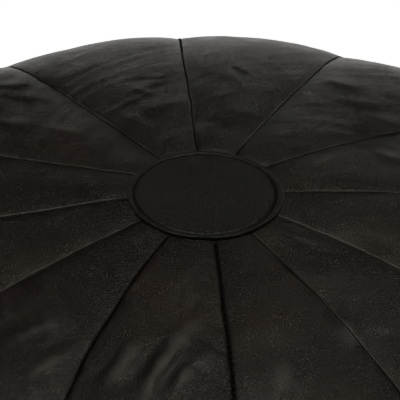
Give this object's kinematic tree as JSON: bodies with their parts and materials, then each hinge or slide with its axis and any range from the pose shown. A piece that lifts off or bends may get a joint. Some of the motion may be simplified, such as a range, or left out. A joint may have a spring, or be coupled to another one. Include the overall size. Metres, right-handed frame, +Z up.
{
  "type": "leather pouf",
  "caption": "Low round stuffed leather pouf: gores sewn round a topstitched medallion, flat base with a zip, loose inner bag.",
  "frame": {"origin": "centre of the floor contact, at floor level", "axes": "+Z up, through the medallion; the zip lies along X and closes towards +X"},
  "size_m": [0.6, 0.6, 0.3],
  "materials": {
    "gore_leather": "semi-gloss black goat leather, fine pebble grain",
    "medallion_leather": "semi-gloss black goat leather, a little duller than the gores",
    "base_leather": "matt black leather",
    "thread": "waxed black thread",
    "backing_felt": "stiff buckram",
    "zip_tape": "black woven polyester",
    "zip_teeth": "moulded black acetal",
    "zip_metal": "dark antique plated metal",
    "cotton": "undyed cotton cloth",
    "stuffing": "loose cotton wadding"
  },
  "bodies": {
    "root": {"gore_01": "gore_leather", "gore_02": "gore_leather", "gore_03": "gore_leather", "gore_04": "gore_leather", "gore_05": "gore_leather", "gore_06": "gore_leather", "gore_07": "gore_leather", "gore_08": "gore_leather", "gore_09": "gore_leather", "gore_10": "gore_leather", "gore_11": "gore_leather", "gore_12": "gore_leather", "gore_seam_threads": "thread", "medallion": "medallion_leather", "medallion_topstitch": "thread", "medallion_backing": "backing_felt", "base_panel_front": "base_leather", "base_panel_rear": "base_leather", "base_seam_thread": "thread", "base_centre_threads": "thread", "zip_tape_front": "zip_tape", "zip_tape_rear": "zip_tape", "zip_teeth_front": "zip_teeth", "zip_teeth_rear": "zip_teeth", "zip_top_stops": "zip_metal", "zip_bottom_stop": "zip_metal", "zip_topstitch": "thread", "inner_bag_top": "cotton", "inner_bag_side": "cotton", "inner_bag_bottom": "cotton", "stuffing": "stuffing"},
    "zip_slider_body": {"zip_slider": "zip_metal"},
    "zip_pull_body": {"zip_pull": "zip_metal"}
  },
  "joints": [
    {"name": "zip_slide", "type": "slide", "parent": "root", "child": "zip_slider_body", "axis": [1, 0, 0], "range_m": [-0.28, 0], "deforming": ["zip_teeth_front", "zip_teeth_rear"]},
    {"name": "zip_pull_hinge", "type": "hinge", "parent": "zip_slider_body", "child": "zip_pull_body", "pos_m": [0.142, 0, 0.006], "axis": [0, -1, 0], "range_deg": [0, 175]}
  ]
}
